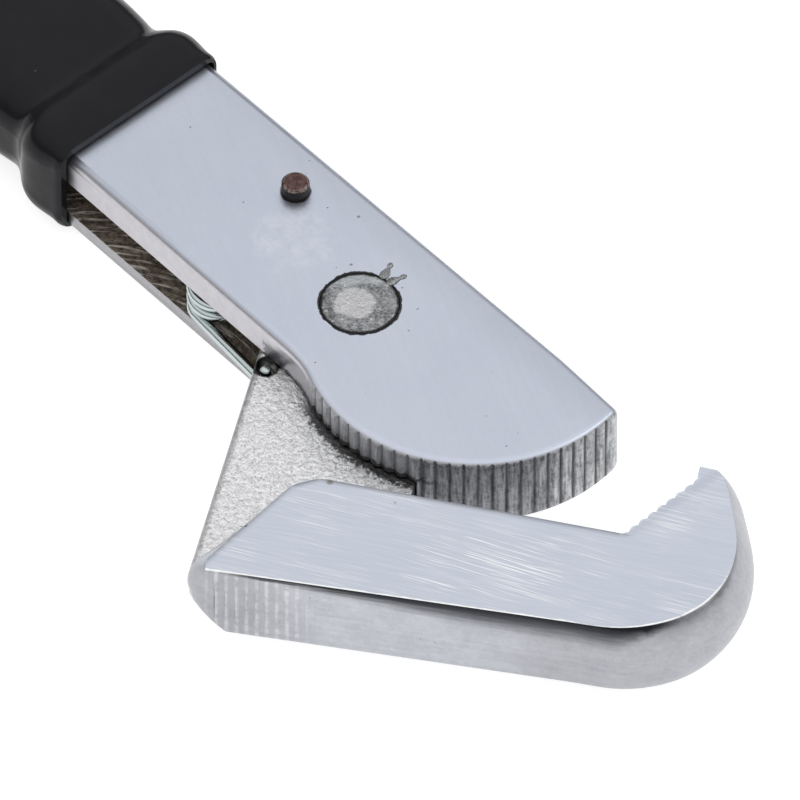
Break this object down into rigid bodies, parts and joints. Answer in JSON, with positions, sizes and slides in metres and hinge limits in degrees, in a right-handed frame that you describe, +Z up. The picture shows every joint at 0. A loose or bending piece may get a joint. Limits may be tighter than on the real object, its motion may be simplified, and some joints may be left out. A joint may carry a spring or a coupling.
{
  "type": "self-gripping hydrant wrench",
  "caption": "Self-gripping hydrant and pipe wrench: slotted flat bar with a toothed cam nose, a sprung toothed hook jaw on a rivet, and a black plastic grip.",
  "frame": {"origin": "on the pivot rivet's axis, in the plane of the bar's flat underside", "axes": "+X along the bar towards the toothed nose, +Y away from the hook jaw, +Z up through the bar's thickness"},
  "size_m": [0.2423, 0.0616, 0.0164],
  "materials": {
    "zinc_bar": "bright zinc plate over a forged and ground bar, satin with fine pits",
    "zinc_casting": "bright zinc plate over a casting, rough on the web and brushed on the hook",
    "rivet_steel": "peened grey steel, mottled",
    "pin_steel": "brown oxidised steel",
    "spring_wire": "bright plated spring wire",
    "grip_plastic": "glossy black dipped plastic"
  },
  "bodies": {
    "handle": {"handle_bar": "zinc_bar", "grip_sleeve": "grip_plastic", "pivot_rivet": "rivet_steel", "spring_pin": "pin_steel", "torsion_spring": "spring_wire"},
    "jaw": {"hook_jaw": "zinc_casting"}
  },
  "joints": [
    {"name": "jaw_pivot", "type": "hinge", "parent": "handle", "child": "jaw", "pos_m": [0, 0, 0.0061], "axis": [0, 0, -1], "range_deg": [0, 30], "stiffness_Nm_per_rad": 0.35, "springref_deg": -28.65, "deforming": ["torsion_spring"]}
  ]
}
